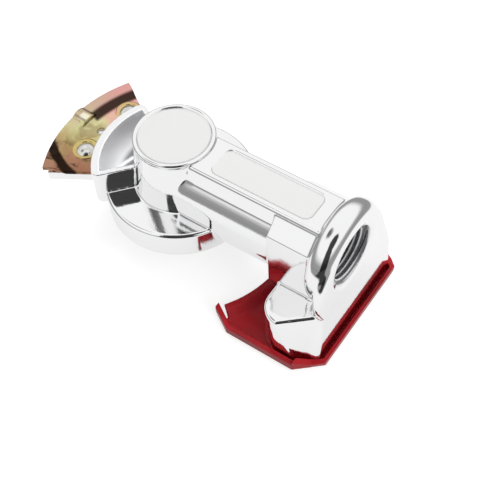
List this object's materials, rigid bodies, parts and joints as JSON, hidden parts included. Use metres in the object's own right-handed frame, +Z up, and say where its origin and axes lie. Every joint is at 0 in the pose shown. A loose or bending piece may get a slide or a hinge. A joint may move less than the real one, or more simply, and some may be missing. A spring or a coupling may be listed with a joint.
{
  "type": "air brake hose coupling head",
  "caption": "Palm coupling head for an air brake line: polished cast head with a detent plate, sealing ring, threaded hose port and a folded red guide claw.",
  "frame": {"origin": "on the axis of the round head and its sealing ring, at the coupling face", "axes": "+X along the arm to the hose port, +Z up out of the turret, away from the mating head"},
  "size_m": [0.1049, 0.052, 0.0455],
  "materials": {
    "polished_casting": "polished",
    "zinc_plate": "yellow zinc plated",
    "rivet_metal": "plain",
    "red_paint": "gloss",
    "screw_steel": "black oxide",
    "seal_rubber": "moulded"
  },
  "bodies": {
    "root": {"body": "polished_casting", "detent_plate": "zinc_plate", "detent_plate_rivets": "rivet_metal", "guide_claw": "red_paint", "guide_claw_screws": "screw_steel", "sealing_ring": "seal_rubber"}
  },
  "joints": []
}
